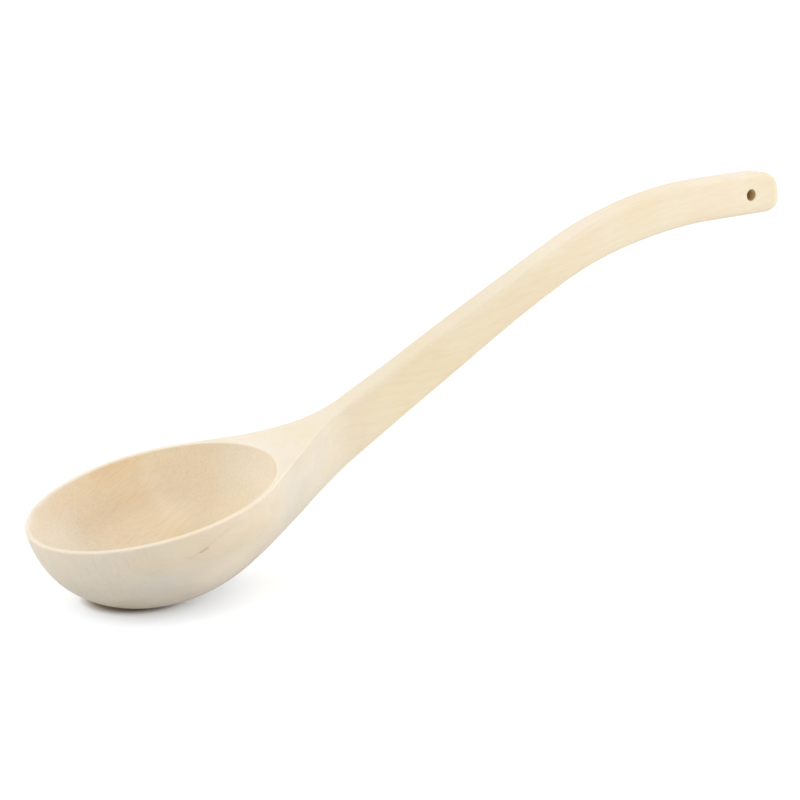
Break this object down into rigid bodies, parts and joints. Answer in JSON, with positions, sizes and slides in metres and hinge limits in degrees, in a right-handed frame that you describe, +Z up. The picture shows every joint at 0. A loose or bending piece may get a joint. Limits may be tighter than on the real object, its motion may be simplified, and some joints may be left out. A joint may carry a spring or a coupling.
{
  "type": "sauna ladle",
  "caption": "One-piece carved wooden ladle with a round bowl and a long, rising handle drilled for hanging, for pouring water onto sauna stones",
  "frame": {"origin": "The centre of the small flat that the bowl stands on, at the bottom of the bowl.", "axes": "+X runs level along the ladle, from the bowl towards the end of the handle. +Y runs across the ladle. +Z is up, square to the flat."},
  "size_m": [0.4266, 0.1184, 0.1722],
  "materials": {
    "pale_wood": "bare, sanded, matt"
  },
  "bodies": {
    "root": {"ladle": "pale_wood"}
  },
  "joints": []
}
